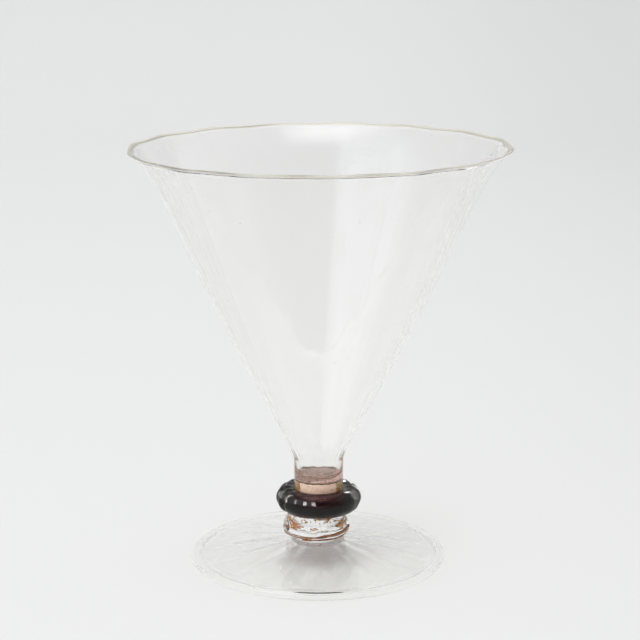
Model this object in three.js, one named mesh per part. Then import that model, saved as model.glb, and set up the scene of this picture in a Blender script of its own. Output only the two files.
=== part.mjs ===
// A blown goblet: a wide ribbed bowl of clear glass on a short stem, with a dark ribbed ring,
// a round knop with metal leaf, and a broad ribbed foot with a folded edge.
// Lengths are millimetres, +Z is up, and the origin is the middle of the resting face.
// Angles are turned from the front (-Y) towards +X.

import * as THREE from 'three';

const degree = Math.PI / 180;

// Foot: a low cone of glass with its edge folded under into a round roll
const footRadius = 45.65;
const footHeight = 8;
const footWall = 2.2;
const bossRadius = 10.4;
const foldWidth = 3.6;
const foldThickness = 3;
const restWidth = 1.4;
const footRibDepth = 0.25;

// Lower knop: a squashed ball, fused on the foot
const knopHeight = 9.9;
const knopRadius = 12;
const knopWidestHeight = 3.4;
const knopBaseRadius = 9.9;
const knopTopRadius = 9.5;

// Stem core: the clear gather that joins knop and bowl
const coreRadius = 8.2;
const coreHeight = 12.1;

// Metal leaf: a sleeve round the core, a disc on it, and torn flakes on the knop
const leafThickness = 0.3;
const leafDiscRadius = 8;
const leafGap = 0.1;
const leafFlakes = {
  leaf_flake_left: { turn: -46 * degree, height: 6.7, width: 7, tall: 2.8, tail: 0.5 },
  leaf_flake_front: { turn: -4 * degree, height: 7, width: 2.4, tall: 1.4, tail: 0.6 },
  leaf_flake_right: { turn: 49 * degree, height: 6, width: 2, tall: 1.5, tail: 0.7 },
};

// Ribbed ring: a thick trail of dark glass, pinched into ribs
const ringWidth = 6.55;
const ringHeight = 9;
const ringGap = 0.25;
const ringRibCount = 18;
const ringGrooveDepth = 0.9;
const ringRibTurn = 10 * degree;

// Copper thread: one wavy trail round the knop, which falls from its right side and laps itself
const threadRadius = 0.3;
const threadStartTurn = 76 * degree;
const threadEndTurn = -388 * degree;
const threadStartHeight = 4.9;
const threadLapHeight = 2.55;
const threadEndHeight = 1.85;
const threadFallTurn = 115 * degree;
const threadWave = 0.12;

// Bowl: a neck with a short well, a slightly bowed cone and a flared, fire-polished lip
const bowlHeight = 119.5;
const neckRadius = 8.8;
const neckHeight = 6.7;
const neckWall = 3.3;
const wellFloor = 1.1;
const wallFade = 13;
const neckBend = 1.5;
const flareDepth = 12.8;
const flareRadius = 57.1;
const coneBow = 1.3;
const rimRadius = 66.65;
const rimWall = 0.9;
const lipThickness = 1.3;

// Optic ribs: the same mould ribs run through bowl and foot
const ribCount = 16;
const ribTurn = -8 * degree;
const ribDepth = 0.25;
const rimRibDepth = 0.45;
const rimWave = 0.2;
const innerRibShare = 0.4;

// Hand work: the stem, knop and foot sit a little to the left of the rim's middle, the bowl leans
// to meet them, and the rim is a little higher on the right
const stemOffset = -0.5;
const knopOffset = -1.35;
const footOffset = -0.75;
const rimTilt = 0.4;

// Levels, from the table up
const knopBase = footHeight;
const coreBase = knopBase + knopHeight;
const leafLevel = coreBase + coreHeight;
const bowlBase = leafLevel + leafThickness;
const flareHeight = bowlHeight - flareDepth; // above the bowl's base

// Radii that follow the pieces they fit
const leafSleeveRadius = coreRadius + leafGap;
const ringBore = leafSleeveRadius + leafThickness + ringGap;

const clearGlass = { color: 0xe3e7e1, roughness: 0.05, metalness: 0 };
const darkGlass = { color: 0x2b0c18, roughness: 0.08, metalness: 0 };
const metalLeaf = { color: 0xc99b7d, roughness: 0.4, metalness: 0.6 };
const copperTrail = { color: 0x7d4a2a, roughness: 0.25, metalness: 0.2 };

const goblet = new THREE.Group();
const footGroup = addGroup(footOffset, 0);
const knopGroup = addGroup(knopOffset, knopBase);
const stemGroup = addGroup(stemOffset, 0);
const bowlGroup = addGroup(0, bowlBase);

function addGroup(offset, height) {
  const group = new THREE.Group();
  group.position.set(offset, 0, height);
  goblet.add(group);
  return group;
}

function addPiece(group, name, geometry, finish) {
  const piece = new THREE.Mesh(geometry, new THREE.MeshStandardMaterial(finish));
  piece.name = name;
  group.add(piece);
}

const blend = (from, to, share) => from + (to - from) * share;
const clamp = (value) => Math.min(1, Math.max(0, value));
const rib = (turn) => Math.cos(ribCount * (turn - ribTurn));

// Evenly spaced values from one end to the other, both ends included
function steps(from, to, count) {
  return Array.from({ length: count + 1 }, (_, i) => blend(from, to, i / count));
}

// Points of an elliptic arc in the (radius, height) plane
function arc(radius, height, halfWidth, halfHeight, fromAngle, toAngle, count) {
  return steps(fromAngle, toAngle, count).map((angle) => [
    radius + halfWidth * Math.cos(angle),
    height + halfHeight * Math.sin(angle),
  ]);
}

// Turns an outline of [radius, height] points round the Z axis.
// The outline runs from the axis, out along the underside, and back over the top,
// and carve may then move each point in its own radial plane and shift it along X.
function turned(outline, segments, carve = (radius, height) => [radius, height]) {
  const points = outline.map(([radius, height]) => new THREE.Vector2(radius, height));
  const geometry = new THREE.LatheGeometry(points, segments);
  geometry.rotateX(Math.PI / 2);
  const position = geometry.attributes.position;
  for (let i = 0; i < position.count; i++) {
    const turn = Math.atan2(position.getX(i), -position.getY(i));
    const oldRadius = Math.hypot(position.getX(i), position.getY(i));
    const [radius, height, shift = 0] = carve(oldRadius, position.getZ(i), turn);
    position.setXYZ(i, radius * Math.sin(turn) + shift, -radius * Math.cos(turn), height);
  }
  return geometry;
}

// Height of the foot's upper side, which falls in a soft curve from the boss to the fold
function footTop(radius) {
  const foldEdge = footRadius - foldWidth;
  const share = clamp((radius - bossRadius) / (foldEdge - bossRadius));
  return blend(foldThickness, footHeight, (1 - share) ** 1.35);
}

function makeFoot() {
  const foldMiddle = footRadius - foldWidth / 2;
  const foldEdge = footRadius - foldWidth;
  const slope = steps(bossRadius, foldEdge, 5);
  const roll = arc(foldMiddle, foldThickness / 2, foldWidth / 2, foldThickness / 2,
    -45 * degree, 90 * degree, 3);
  const outline = [
    [0, footHeight - footWall],
    ...slope.map((radius) => [radius, footTop(radius) - footWall]),
    [foldMiddle - restWidth / 2, 0],
    [foldMiddle + restWidth / 2, 0],
    ...roll,
    ...slope.reverse().map((radius) => [radius, footTop(radius)]),
    [0, footHeight],
  ];
  const carve = (radius, height, turn) => {
    const share = clamp((radius - bossRadius) / (foldEdge - bossRadius));
    const onTop = height > footTop(radius) - footWall / 2;
    const lift = onTop ? footRibDepth * Math.sin(Math.PI * share) * rib(turn) : 0;
    return [radius, height + lift];
  };
  return turned(outline, 5 * ribCount, carve);
}

// Radius of the knop at a height above its base
function knopRadiusAt(height) {
  const below = height < knopWidestHeight;
  const reach = below ? knopWidestHeight : knopHeight - knopWidestHeight;
  const endRadius = below ? knopBaseRadius : knopTopRadius;
  const share = (height - knopWidestHeight) / reach;
  return blend(endRadius, knopRadius, Math.cos(share * Math.PI / 2));
}

function makeKnop() {
  const side = steps(0, knopHeight, 9).map((height) => [knopRadiusAt(height), height]);
  return turned([[0, 0], ...side, [0, knopHeight]], 48);
}

// The thread's height above the knop's base: it falls steeply, then runs almost level
function threadHeight(turn) {
  const passed = threadStartTurn - turn;
  const level = (passed - threadFallTurn) / (threadStartTurn - threadEndTurn - threadFallTurn);
  const run = blend(threadLapHeight, threadEndHeight, clamp(level));
  const fall = (threadStartHeight - threadLapHeight) * (1 - clamp(passed / threadFallTurn)) ** 1.2;
  return run + fall + threadWave * Math.sin(5 * turn);
}

function makeThread() {
  const route = steps(threadStartTurn, threadEndTurn, 54).map((turn) => {
    const height = threadHeight(turn);
    const radius = knopRadiusAt(height) + leafGap + threadRadius;
    return new THREE.Vector3(radius * Math.sin(turn), -radius * Math.cos(turn), height);
  });
  const section = new THREE.Shape().absarc(0, 0, threadRadius, 0, 2 * Math.PI);
  return new THREE.ExtrudeGeometry(section, {
    extrudePath: new THREE.CatmullRomCurve3(route),
    steps: 54,
    curveSegments: 4,
    bevelEnabled: false,
  });
}

// A torn flake of leaf, bent round the knop: its outline narrows downwards, to a share called tail
function makeFlake({ turn, height, width, tall, tail }) {
  const geometry = new THREE.BoxGeometry(width, tall, leafThickness, 6, 4, 1);
  const position = geometry.attributes.position;
  for (let i = 0; i < position.count; i++) {
    const up = position.getY(i) / tall;
    const level = height + position.getY(i);
    const surface = knopRadiusAt(level);
    const radius = surface + leafGap + leafThickness / 2 + position.getZ(i);
    const along = position.getX(i) * blend(1, tail, clamp(0.5 - up));
    const angle = turn + along / surface;
    position.setXYZ(i, radius * Math.sin(angle), -radius * Math.cos(angle), level);
  }
  return geometry;
}

function makeCore() {
  return turned([[0, coreBase], [coreRadius, coreBase], [coreRadius, leafLevel], [0, leafLevel]], 48);
}

function makeLeafSleeve() {
  const outer = leafSleeveRadius + leafThickness;
  return turned([
    [leafSleeveRadius, coreBase],
    [outer, coreBase],
    [outer, leafLevel],
    [leafSleeveRadius, leafLevel],
    [leafSleeveRadius, coreBase],
  ], 48);
}

function makeLeafDisc() {
  return turned([[0, leafLevel], [leafDiscRadius, leafLevel], [leafDiscRadius, bowlBase], [0, bowlBase]], 48);
}

// The ring's section is a round, cut flat by the bore; its grooves fade out towards the bore
function makeRing() {
  const boreAngle = 118 * degree;
  const halfWidth = ringWidth / (1 - Math.cos(boreAngle));
  const middleRadius = ringBore + ringWidth - halfWidth;
  const middleHeight = coreBase + ringGap + ringHeight / 2;
  const round = arc(middleRadius, middleHeight, halfWidth, ringHeight / 2, -boreAngle, boreAngle, 11);
  const carve = (radius, height, turn) => {
    const groove = 1 - Math.abs(Math.cos(ringRibCount / 2 * (turn - ringRibTurn)));
    const fade = clamp((radius - ringBore) / halfWidth);
    const inward = 1 - ringGrooveDepth * groove * fade / halfWidth;
    return [blend(middleRadius, radius, inward), blend(middleHeight, height, inward)];
  };
  return turned([...round, round[0]], 6 * ringRibCount, carve);
}

// Outer radius of the bowl at a height above its base
function bowlRadius(height) {
  const bend = (rise) => Math.hypot(Math.max(0, rise), neckBend) - neckBend;
  const coneHeight = flareHeight - neckHeight;
  const straight = (level) => blend(neckRadius, flareRadius, bend(level - neckHeight) / bend(coneHeight));
  const bow = coneBow * Math.sin(Math.PI * clamp((height - neckHeight) / coneHeight)) ** 2;
  const flare = clamp((height - flareHeight) / (bowlHeight - flareHeight)) ** 2;
  return straight(height) + bow + (rimRadius - straight(bowlHeight)) * flare;
}

// Level thickness of the bowl's wall: thick at the neck, and thin from the cone up
function bowlWall(height) {
  const slope = (bowlRadius(height + 0.5) - bowlRadius(height - 0.5));
  const square = rimWall * Math.hypot(1, slope);
  return blend(square, neckWall, Math.exp(-Math.max(0, height - neckHeight) / wallFade));
}

function makeBowl() {
  const lip = lipThickness / 2;
  const wallTop = bowlHeight - lipThickness;
  const cone = steps(0, 1, 8).map((share) => blend(neckHeight, flareHeight, share ** 1.6));
  const levels = [...cone, blend(flareHeight, wallTop, 0.55), wallTop];
  const well = arc(0, wellFloor + neckWall, neckRadius - neckWall, neckWall, 0, -90 * degree, 3);
  well[well.length - 1][0] = 0;
  const outline = [
    [0, 0],
    [bowlRadius(0), 0],
    ...levels.map((height) => [bowlRadius(height), height]),
    ...arc(rimRadius - lip, bowlHeight - lip, lip, lip, -20 * degree, 200 * degree, 4),
    ...levels.reverse().map((height) => [bowlRadius(height) - bowlWall(height), height]),
    ...well,
  ];
  const carve = (radius, height, turn) => {
    const share = clamp(height / bowlHeight);
    const onOutside = radius > bowlRadius(height) - bowlWall(height) / 2;
    const side = height > wallTop || onOutside ? 1 : -innerRibShare;
    const depth = blend(ribDepth, rimRibDepth, share ** 3) * clamp(radius / (neckRadius - neckWall));
    const lift = rimWave * rib(turn) * share ** 12 + rimTilt * Math.sin(turn) * share ** 3;
    return [radius + side * depth * rib(turn), height + lift, stemOffset * (1 - share)];
  };
  return turned(outline, 5 * ribCount, carve);
}

addPiece(footGroup, 'foot', makeFoot(), clearGlass);
addPiece(knopGroup, 'lower_knop', makeKnop(), clearGlass);
addPiece(knopGroup, 'copper_thread', makeThread(), copperTrail);
for (const [name, flake] of Object.entries(leafFlakes)) {
  addPiece(knopGroup, name, makeFlake(flake), metalLeaf);
}
addPiece(stemGroup, 'stem_core', makeCore(), clearGlass);
addPiece(stemGroup, 'leaf_band', makeLeafSleeve(), metalLeaf);
addPiece(stemGroup, 'ribbed_ring', makeRing(), darkGlass);
addPiece(stemGroup, 'leaf_disc', makeLeafDisc(), metalLeaf);
addPiece(bowlGroup, 'bowl', makeBowl(), clearGlass);

export default goblet;
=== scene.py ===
import math

import bpy
from mathutils import Matrix, Vector, noise


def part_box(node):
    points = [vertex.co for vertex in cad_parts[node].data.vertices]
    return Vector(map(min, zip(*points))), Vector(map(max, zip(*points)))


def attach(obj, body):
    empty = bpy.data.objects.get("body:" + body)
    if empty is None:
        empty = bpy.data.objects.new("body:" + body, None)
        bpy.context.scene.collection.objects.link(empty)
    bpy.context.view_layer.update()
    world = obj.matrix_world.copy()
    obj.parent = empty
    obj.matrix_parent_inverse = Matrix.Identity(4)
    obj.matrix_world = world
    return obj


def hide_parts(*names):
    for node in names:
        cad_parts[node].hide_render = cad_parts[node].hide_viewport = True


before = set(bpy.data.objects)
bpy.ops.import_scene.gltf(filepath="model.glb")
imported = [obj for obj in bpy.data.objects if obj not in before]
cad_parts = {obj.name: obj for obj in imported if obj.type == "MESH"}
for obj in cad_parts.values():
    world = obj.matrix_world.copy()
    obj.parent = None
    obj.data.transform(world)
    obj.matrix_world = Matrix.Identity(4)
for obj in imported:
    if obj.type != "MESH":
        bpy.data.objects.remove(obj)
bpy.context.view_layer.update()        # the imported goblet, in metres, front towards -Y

scene = bpy.context.scene
mm = 0.001
degree = math.pi / 180


# Small helpers
def blend(start, end, share):
    return start + (end - start) * share


def clamp(value):
    return min(1.0, max(0.0, value))


def smooth(share):
    return share * share * (3 - 2 * share)


def steps(start, end, count):
    return [blend(start, end, i / count) for i in range(count + 1)]


def arc(radius, height, halfWidth, halfHeight, start, end, count):
    turns = steps(start, end, count)
    return [(radius + halfWidth * math.cos(a), height + halfHeight * math.sin(a)) for a in turns]


# A point on a round body, and the way that faces out there
def pointRound(centre, radius, turn, height):
    outward = (math.sin(turn), -math.cos(turn), 0)
    return (centre + radius * outward[0], radius * outward[1], height), outward


def toLinear(code):
    parts = [int(code[i:i + 2], 16) / 255 for i in (1, 3, 5)]
    return [p / 12.92 if p <= 0.04045 else ((p + 0.055) / 1.055) ** 2.4 for p in parts] + [1.0]


def addNode(tree, kind, inputs=None, **settings):
    node = tree.nodes.new(kind)
    for name, value in settings.items():
        setattr(node, name, value)
    given = inputs or {}
    for socket, value in given.items() if isinstance(given, dict) else enumerate(given):
        if isinstance(value, bpy.types.Node):
            value = value.outputs[0]    # a node stands for its first output
        if isinstance(value, bpy.types.NodeSocket):
            tree.links.new(value, node.inputs[socket])
        else:
            node.inputs[socket].default_value = value
    return node


def newMaterial(name):
    material = bpy.data.materials.new(name)
    material.use_nodes = True
    material.node_tree.nodes.clear()
    return material, material.node_tree


def addObject(name, data):
    added = bpy.data.objects.new(name, data)
    scene.collection.objects.link(added)
    return added


def addPiece(name, points, faces):
    mesh = bpy.data.meshes.new(name)
    mesh.from_pydata([Vector(p) * mm for p in points], [], faces)
    mesh.shade_smooth()
    return addObject(name, mesh)


# Camera, placed where the photograph was taken from; lengths in millimetres
view = {"distance": 668.9, "height": 242.2, "pitch": 12.97 * degree, "lens": 109.3, "sensor": 36}


def makeCamera(sizes):
    data = bpy.data.cameras.new("camera")
    data.lens = sizes["lens"]
    data.sensor_width = sizes["sensor"]
    data.clip_start = 0.05
    camera = addObject("camera", data)
    camera.location = (0, -sizes["distance"] * mm, sizes["height"] * mm)
    camera.rotation_euler = (math.pi / 2 - sizes["pitch"], 0, 0)
    scene.camera = camera


makeCamera(view)
print("camera placed")


# Where the pieces sit, read from the frame, in millimetres
def nodeSizes(node):
    low, high = (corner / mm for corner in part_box(node))
    return {"middle": (low.x + high.x) / 2, "radius": (high.x - low.x) / 2, "base": low.z, "top": high.z}


footSpace, knopSpace, coreSpace, ringSpace, bowlSpace, discSpace = (
    nodeSizes(node) for node in ("foot", "lower_knop", "stem_core", "ribbed_ring", "bowl", "leaf_disc"))


# Lamps shine straight through the glass with a tint, so that its shadow is pale and not black
def passLamps(tree, body, lampTint):
    lamps = addNode(tree, "ShaderNodeBsdfTransparent", {"Color": toLinear(lampTint)})
    path = addNode(tree, "ShaderNodeLightPath")
    soft = addNode(tree, "ShaderNodeMixShader", [path.outputs["Is Diffuse Ray"], body, lamps])
    return addNode(tree, "ShaderNodeMixShader", [path.outputs["Is Shadow Ray"], soft, lamps])


# Glass: soda-lime, blown and fire polished, clear with a breath of yellow at the lip. Cords are the
# soft streaks that stay in hand-made glass; their width and depth are in millimetres
def glassNodes(name, tint, lampTint, cordWidth, cordDepth, roughness, bending):
    material, tree = newMaterial(name)
    place = addNode(tree, "ShaderNodeTexCoord").outputs["Object"]
    drawn = addNode(tree, "ShaderNodeMapping", {"Vector": place, "Scale": (1, 1, 0.3)})
    cords = addNode(tree, "ShaderNodeTexNoise", {
        "Vector": drawn, "Scale": 1 / (cordWidth * mm), "Detail": 0.0})
    bump = addNode(tree, "ShaderNodeBump", {"Height": cords, "Strength": 1.0, "Distance": cordDepth * mm})
    body = addNode(tree, "ShaderNodeBsdfPrincipled", {
        "Base Color": toLinear(tint), "Roughness": roughness, "IOR": bending,
        "Transmission Weight": 1.0, "Normal": bump})
    addNode(tree, "ShaderNodeOutputMaterial", {"Surface": passLamps(tree, body, lampTint)})
    return material


clearGlass = glassNodes(
    "blown clear glass", tint="#fffffe", lampTint="#fefefd", cordWidth=18, cordDepth=0.008, roughness=0.0,
    bending=1.5)

# The lip's IOR is matched to this studio; real glass has about 1.5, the better start in another one
lipGlass = glassNodes(
    "fire polished lip", tint="#faf7ea", lampTint="#fcfcf9", cordWidth=5, cordDepth=0.01, roughness=0.3,
    bending=1.15)

# The pontil mark under the foot, ground away to a frosted patch
groundGlass = glassNodes(
    "ground pontil mark", tint="#f4f4f0", lampTint="#f4f4f0", cordWidth=3, cordDepth=0.02, roughness=0.6,
    bending=1.5)


# Where two gathers are fused there is no surface left to see
def makeFusedGlass():
    material, tree = newMaterial("fused glass")
    clear = addNode(tree, "ShaderNodeBsdfTransparent", {"Color": (1, 1, 1, 1)})
    addNode(tree, "ShaderNodeOutputMaterial", {"Surface": clear})
    return material


fusedGlass = makeFusedGlass()


# Very dark garnet glass: black in the thick of it, red where little glass lies in the way. Its IOR is
# lower than the 1.5 of real glass, which mirrors this studio too brightly on the ring's sides
def makeDarkGlass():
    material, tree = newMaterial("dark garnet glass")
    place = addNode(tree, "ShaderNodeTexCoord").outputs["Object"]
    waves = addNode(tree, "ShaderNodeTexNoise", {"Vector": place, "Scale": 1 / (4 * mm), "Detail": 2.0})
    bump = addNode(tree, "ShaderNodeBump", {"Height": waves, "Strength": 1.0, "Distance": 0.008 * mm})
    body = addNode(tree, "ShaderNodeBsdfPrincipled", {
        "Base Color": toLinear("#ffffff"), "Roughness": 0.0, "IOR": 1.38,
        "Transmission Weight": 1.0, "Normal": bump})
    colour = addNode(tree, "ShaderNodeVolumeAbsorption", {"Color": (0.84, 0.04, 0.06, 1), "Density": 2900})
    addNode(tree, "ShaderNodeOutputMaterial", {
        "Surface": passLamps(tree, body, "#f0d0bc"), "Volume": colour})
    return material


darkGlass = makeDarkGlass()


def setRamp(node, *stops):
    for stop, (place, colour) in zip(node.color_ramp.elements, stops):
        stop.position = place
        stop.color = toLinear(colour)


# Metal leaf, rolled hot into the glass: crumpled, mottled about 0.8 mm wide, with a broken shine
def leafNodes(name, light, dark, fleck, fleckShare, metal, roughness):
    material, tree = newMaterial(name)
    place = addNode(tree, "ShaderNodeTexCoord").outputs["Object"]
    mottle = addNode(tree, "ShaderNodeTexNoise", {
        "Vector": place, "Scale": 1 / (0.8 * mm), "Detail": 5.0, "Roughness": 0.65})
    shade = addNode(tree, "ShaderNodeValToRGB", {"Fac": mottle})
    setRamp(shade, (0.36, dark), (0.62, light))
    spots = addNode(tree, "ShaderNodeTexNoise", {
        "Vector": place, "Scale": 1 / (0.7 * mm), "Detail": 3.0, "Roughness": 0.7})
    edge = addNode(tree, "ShaderNodeMapRange", {
        "Value": spots, "From Min": fleckShare, "From Max": fleckShare + 0.04})
    paint = addNode(tree, "ShaderNodeMix", {0: edge, 6: toLinear(fleck), 7: shade}, data_type="RGBA")
    crumple = addNode(tree, "ShaderNodeBump", {"Height": mottle, "Strength": 0.8, "Distance": 0.15 * mm})
    body = addNode(tree, "ShaderNodeBsdfPrincipled", {
        "Base Color": paint.outputs[2], "Metallic": metal, "Roughness": roughness, "Normal": crumple})
    addNode(tree, "ShaderNodeOutputMaterial", {"Surface": body})
    return material


discLeaf = leafNodes("rose leaf under the neck", "#cdaa99", "#72503f", "#4c3024", 0.43, 0.4, 0.45)
foldLeaf = leafNodes("rose leaf, folded back", "#f0cdc2", "#c79c90", "#7a5548", 0.34, 0.4, 0.35)
bandLeaf = leafNodes("peach leaf on the core", "#f6dcc0", "#eec4b0", "#6a4626", 0.35, 0.1, 0.4)
wedgeLeaf = leafNodes(
    "gold leaf round the back of the core", "#c9a168", "#7a5528", "#efd9a0", 0.38, 0.3, 0.4)
flakeLeaf = leafNodes("copper leaf flakes", "#cf9560", "#854c29", "#e8cf9c", 0.36, 0.2, 0.4)
crumbLeaf = leafNodes("crumbs of leaf", "#e2bd72", "#8e3b2c", "#5e5a2c", 0.36, 0.2, 0.4)


# Copper brown glass trail, streaked where the hot rod was drawn out
def makeTrailGlass():
    material, tree = newMaterial("copper brown trail")
    place = addNode(tree, "ShaderNodeTexCoord").outputs["Object"]
    streak = addNode(tree, "ShaderNodeTexNoise", {"Vector": place, "Scale": 1 / (0.9 * mm), "Detail": 3.0})
    shade = addNode(tree, "ShaderNodeValToRGB", {"Fac": streak})
    setRamp(shade, (0.38, "#5c3420"), (0.62, "#b07c54"))
    body = addNode(tree, "ShaderNodeBsdfPrincipled", {
        "Base Color": shade, "Metallic": 0.2, "Roughness": 0.25})
    addNode(tree, "ShaderNodeOutputMaterial", {"Surface": body})
    return material


trailGlass = makeTrailGlass()
print("materials made")


# Finishes of a glass body: its skin, its fused faces, and its lip or its pontil mark
skinFinish, fusedFinish, lipFinish = 0, 1, 2


# Turned bodies: rows of points round the Z axis, from the axis at the bottom, round the outside
# and back to the axis at the top. Each row holds radius, height, centre, reach of the ribs and finish
def turnedBody(name, rows, segments, closed=False):
    points, faces, finishes, reaches, angles, softness, crispness = [], [], [], [], [], [], []
    starts = []
    for row in rows:
        starts.append(len(points))
        count = 1 if row["radius"] == 0 else segments
        for i in range(count):
            turn = 2 * math.pi * i / segments
            ahead = (math.sin(turn), -math.cos(turn))
            lift = row.get("tilt", 0) * ahead[0]
            points.append((
                row.get("centre", 0) + row["radius"] * ahead[0],
                row["radius"] * ahead[1],
                row["height"] + lift,
            ))
            outward, upward = row.get("reach", (0, 0))
            reaches += [outward * ahead[0] * mm, outward * ahead[1] * mm, upward * mm]
            angles.append(turn - row.get("twist", 0))
            softness.append(row.get("soft", 0.0))
            crispness.append(row.get("crisp", 1.0))
    pairs = list(zip(range(len(rows) - 1), range(1, len(rows))))
    if closed:
        pairs.append((len(rows) - 1, 0))
    for low, high in pairs:
        for i in range(segments):
            j = (i + 1) % segments
            if rows[low]["radius"] == 0:
                face = (starts[low], starts[high] + j, starts[high] + i)
            elif rows[high]["radius"] == 0:
                face = (starts[low] + i, starts[low] + j, starts[high])
            else:
                face = (starts[low] + i, starts[low] + j, starts[high] + j, starts[high] + i)
            faces.append(face)
            finishes.append(rows[low].get("finish", skinFinish))
    piece = addPiece(name, points, faces)
    mesh = piece.data
    mesh.attributes.new("ribReach", "FLOAT_VECTOR", "POINT").data.foreach_set("vector", reaches)
    for label, values in (("ribAngle", angles), ("softness", softness), ("crispness", crispness)):
        mesh.attributes.new(label, "FLOAT", "POINT").data.foreach_set("value", values)
    mesh.attributes.new("finish", "INT", "FACE").data.foreach_set("value", finishes)
    sharpRows = {starts[i] for i, row in enumerate(rows) if row.get("sharp")}
    rowOf = {start + i: start for start in sharpRows for i in range(segments)}
    sharp = [rowOf.get(e.vertices[0], -1) == rowOf.get(e.vertices[1], -2) for e in mesh.edges]
    mesh.attributes.new("sharp_edge", "BOOLEAN", "EDGE").data.foreach_set("value", sharp)
    return piece


# Geometry Nodes: a tree starts with its named inputs, and runs once on a piece
def startTree(name, inputs):
    tree = bpy.data.node_groups.new(name, "GeometryNodeTree")
    tree.interface.new_socket("Geometry", in_out="INPUT", socket_type="NodeSocketGeometry")
    for label, kind in inputs.items():
        tree.interface.new_socket(label, in_out="INPUT", socket_type="NodeSocket" + kind)
    tree.interface.new_socket("Geometry", in_out="OUTPUT", socket_type="NodeSocketGeometry")
    return tree, addNode(tree, "NodeGroupInput").outputs


def runTree(piece, tree, values):
    modifier = piece.modifiers.new(tree.name, "NODES")
    modifier.node_group = tree
    for item in tree.interface.items_tree:
        if item.in_out == "INPUT" and item.name in values:
            modifier[item.identifier] = values[item.name]
    shape = piece.evaluated_get(bpy.context.evaluated_depsgraph_get())
    mesh = bpy.data.meshes.new_from_object(shape)
    piece.modifiers.clear()
    piece.data = mesh
    return piece


def facesWith(tree, finish):
    kept = addNode(tree, "GeometryNodeInputNamedAttribute", {"Name": "finish"}, data_type="INT")
    return addNode(tree, "FunctionNodeCompare", {2: kept, 3: finish}, data_type="INT", operation="EQUAL")


def endTree(tree, shape, material, others=()):
    whole = addNode(tree, "GeometryNodeRealizeInstances", {"Geometry": shape})
    painted = addNode(tree, "GeometryNodeSetMaterial", {"Geometry": whole, "Material": material})
    for finish, other in others:
        painted = addNode(tree, "GeometryNodeSetMaterial", {
            "Geometry": painted, "Selection": facesWith(tree, finish), "Material": other})
    addNode(tree, "NodeGroupOutput", {"Geometry": painted})
    return tree


# Ribs of the dip mould: a wave round the axis, sharpened at its crests, and the unevenness of hand work
def makeMouldTree():
    tree, given = startTree("moulded ribs", {
        "Rib Count": "Float", "Rib Turn": "Float", "Sharpness": "Float",
        "Wander": "Float", "Wander Width": "Float",
        "Skin": "Material", "Fused": "Material", "Lip": "Material"})
    reach = addNode(tree, "GeometryNodeInputNamedAttribute", {"Name": "ribReach"}, data_type="FLOAT_VECTOR")
    angle, soft, crisp = (
        addNode(tree, "GeometryNodeInputNamedAttribute", {"Name": name}, data_type="FLOAT")
        for name in ("ribAngle", "softness", "crispness"))
    turned = addNode(tree, "ShaderNodeMath", [angle, given["Rib Turn"]], operation="SUBTRACT")
    phase = addNode(tree, "ShaderNodeMath", [turned, given["Rib Count"]], operation="MULTIPLY")
    wave = addNode(tree, "ShaderNodeMath", [phase], operation="COSINE")
    share = addNode(tree, "ShaderNodeMath", [wave, 0.5, 0.5], operation="MULTIPLY_ADD")
    power = addNode(tree, "ShaderNodeMath", [given["Sharpness"], crisp], operation="POWER")
    crest = addNode(tree, "ShaderNodeMath", [share, power], operation="POWER")
    profile = addNode(tree, "ShaderNodeMath", [crest, 2.0, -1.0], operation="MULTIPLY_ADD")
    ribs = addNode(tree, "ShaderNodeVectorMath", {0: reach, "Scale": profile}, operation="SCALE")
    fineness = addNode(tree, "ShaderNodeMath", [1.0, given["Wander Width"]], operation="DIVIDE")
    uneven = addNode(tree, "ShaderNodeTexNoise", {
        "Vector": addNode(tree, "GeometryNodeInputPosition"), "Scale": fineness, "Detail": 1.0})
    centred = addNode(tree, "ShaderNodeVectorMath", {
        0: uneven.outputs["Color"], 1: (0.5, 0.5, 0.5)}, operation="SUBTRACT")
    amount = addNode(tree, "ShaderNodeMath", [soft, given["Wander"]], operation="MULTIPLY")
    wander = addNode(tree, "ShaderNodeVectorMath", {0: centred, "Scale": amount}, operation="SCALE")
    total = addNode(tree, "ShaderNodeVectorMath", [ribs, wander], operation="ADD")
    moved = addNode(tree, "GeometryNodeSetPosition", {"Geometry": given["Geometry"], "Offset": total})
    others = ((fusedFinish, given["Fused"]), (lipFinish, given["Lip"]))
    return endTree(tree, moved, given["Skin"], others)


mouldTree = makeMouldTree()
mould = {"ribCount": 16.0, "ribTurn": -8 * degree}


def blowGlass(piece, sizes, lip=lipGlass):
    return runTree(piece, mouldTree, {
        "Rib Count": mould["ribCount"], "Rib Turn": mould["ribTurn"], "Sharpness": sizes["sharpness"],
        "Wander": sizes["wander"] * mm, "Wander Width": sizes["wanderWidth"] * mm,
        "Skin": clearGlass, "Fused": fusedGlass, "Lip": lip})


# Foot: a low cone, ribbed on top, with its edge folded under into a roll
foot = {
    "wall": 2.2, "edgeWall": 1.2, "bossRadius": 8.5, "foldWidth": 3.6, "foldThickness": 3, "restWidth": 0.9,
    "foldTurn": 140 * degree, "underLayer": 1.3, "slot": 0.2, "slotDepth": 1.0,
    "ribDepth": 0.14, "knopBaseRadius": 8.2, "sharpness": 1.0, "wander": 0.12, "wanderWidth": 22,
    "coneRows": 36, "segments": 320,
}


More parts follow.
